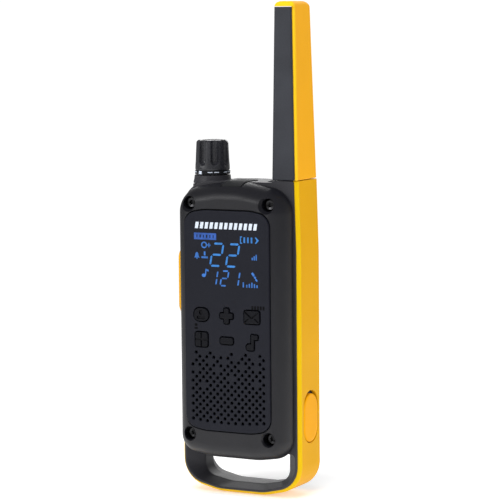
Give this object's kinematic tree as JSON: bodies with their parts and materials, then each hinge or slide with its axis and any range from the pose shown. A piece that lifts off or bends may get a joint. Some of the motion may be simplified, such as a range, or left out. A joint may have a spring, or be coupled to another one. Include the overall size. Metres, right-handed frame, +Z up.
{
  "type": "handheld two-way radio",
  "caption": "Handheld two-way radio: black shell in a yellow band with carry loop, fixed antenna, fluted volume knob, hidden display, keys, speaker grille and belt clip.",
  "frame": {"origin": "centre of the flat foot under the carry loop", "axes": "+Z up towards the antenna tip, the display faces -Y, the antenna is on the +X side"},
  "size_m": [0.0559, 0.0409, 0.1917],
  "materials": {
    "housing_black": "fine matte texture",
    "panel_black": "semi-gloss dead-front panel",
    "frame_black": "matte",
    "body_yellow": "satin moulded yellow",
    "cover_orange": "soft satin",
    "antenna_grey": "fine matte texture",
    "rubber_black": "matte",
    "screw_steel": "black oxide",
    "spring_steel": "bright",
    "nickel": "plated",
    "board_green": "solder mask",
    "display_blue": "lit segments",
    "light_guide": "diffusing",
    "speaker_paper": "coated paper",
    "speaker_cloth": "woven",
    "ferrite": "dull",
    "copper": "enamelled wire",
    "cell_green": "printed sleeve"
  },
  "bodies": {
    "radio_body": {"front_housing": "housing_black", "front_panel": "panel_black", "mid_frame": "frame_black", "side_band": "body_yellow", "rear_housing": "housing_black", "display_module": "display_blue", "display_diffuser": "light_guide", "keypad_sheet": "rubber_black", "main_board": "board_green", "rf_shield": "nickel", "speaker_basket": "nickel", "speaker_cone": "speaker_paper", "speaker_magnet": "ferrite", "speaker_cloth": "speaker_cloth", "microphone": "nickel", "usb_socket": "nickel", "audio_jack": "frame_black", "volume_pot": "nickel", "knob_collar": "housing_black", "knob_seal": "rubber_black", "top_switch": "frame_black", "ptt_switch": "frame_black", "antenna_core": "antenna_grey", "antenna_shell": "body_yellow", "antenna_coil": "copper", "battery_contacts_lower": "nickel", "battery_contacts_upper": "nickel", "battery_cell_1": "cell_green", "battery_cell_2": "cell_green", "battery_cell_3": "cell_green", "front_screw_1": "screw_steel", "front_screw_2": "screw_steel", "front_screw_3": "screw_steel", "front_screw_4": "screw_steel"},
    "volume_control": {"volume_knob": "housing_black", "volume_shaft": "nickel"},
    "top_button": {"top_button": "rubber_black"},
    "ptt_button": {"ptt_button": "body_yellow"},
    "port_cover": {"port_cover": "cover_orange"},
    "battery_door": {"battery_door": "housing_black", "clip_bracket": "frame_black", "clip_pin": "spring_steel", "clip_spring": "spring_steel"},
    "battery_latch": {"battery_latch": "housing_black"},
    "belt_clip": {"belt_clip": "frame_black"},
    "key_group": {"key_group": "rubber_black"},
    "key_plus": {"key_plus": "rubber_black"},
    "key_menu": {"key_menu": "rubber_black"},
    "key_grid": {"key_grid": "rubber_black"},
    "key_minus": {"key_minus": "rubber_black"},
    "key_note": {"key_note": "rubber_black"}
  },
  "joints": [
    {"name": "volume_turn", "type": "hinge", "parent": "radio_body", "child": "volume_control", "pos_m": [-0.0157, -0.001, 0.1262], "axis": [0, 0, 1], "range_deg": [-280, 0]},
    {"name": "key_group_press", "type": "slide", "parent": "radio_body", "child": "key_group", "axis": [0, 1, 0], "range_m": [0, 0.0005], "stiffness_N_per_m": 600},
    {"name": "key_plus_press", "type": "slide", "parent": "radio_body", "child": "key_plus", "axis": [0, 1, 0], "range_m": [0, 0.0005], "stiffness_N_per_m": 600},
    {"name": "key_menu_press", "type": "slide", "parent": "radio_body", "child": "key_menu", "axis": [0, 1, 0], "range_m": [0, 0.0005], "stiffness_N_per_m": 600},
    {"name": "key_grid_press", "type": "slide", "parent": "radio_body", "child": "key_grid", "axis": [0, 1, 0], "range_m": [0, 0.0005], "stiffness_N_per_m": 600},
    {"name": "key_minus_press", "type": "slide", "parent": "radio_body", "child": "key_minus", "axis": [0, 1, 0], "range_m": [0, 0.0005], "stiffness_N_per_m": 600},
    {"name": "key_note_press", "type": "slide", "parent": "radio_body", "child": "key_note", "axis": [0, 1, 0], "range_m": [0, 0.0005], "stiffness_N_per_m": 600},
    {"name": "top_button_press", "type": "slide", "parent": "radio_body", "child": "top_button", "axis": [0, 0, -1], "range_m": [0, 0.0008], "stiffness_N_per_m": 600},
    {"name": "ptt_press", "type": "slide", "parent": "radio_body", "child": "ptt_button", "axis": [1, 0, 0], "range_m": [0, 0.001], "stiffness_N_per_m": 900},
    {"name": "port_cover_open", "type": "hinge", "parent": "radio_body", "child": "port_cover", "pos_m": [0.0261, 0.0003, 0.021], "axis": [0, 1, 0], "range_deg": [0, 100]},
    {"name": "battery_door_open", "type": "hinge", "parent": "radio_body", "child": "battery_door", "pos_m": [0, 0.0146, 0.033], "axis": [-1, 0, 0], "range_deg": [0, 75]},
    {"name": "battery_latch_slide", "type": "slide", "parent": "battery_door", "child": "battery_latch", "axis": [0, 0, -1], "range_m": [0, 0.003]},
    {"name": "belt_clip_open", "type": "hinge", "parent": "battery_door", "child": "belt_clip", "pos_m": [0, 0.0176, 0.086], "axis": [1, 0, 0], "range_deg": [0, 15], "stiffness_Nm_per_rad": 0.05, "deforming": ["clip_spring"]}
  ]
}
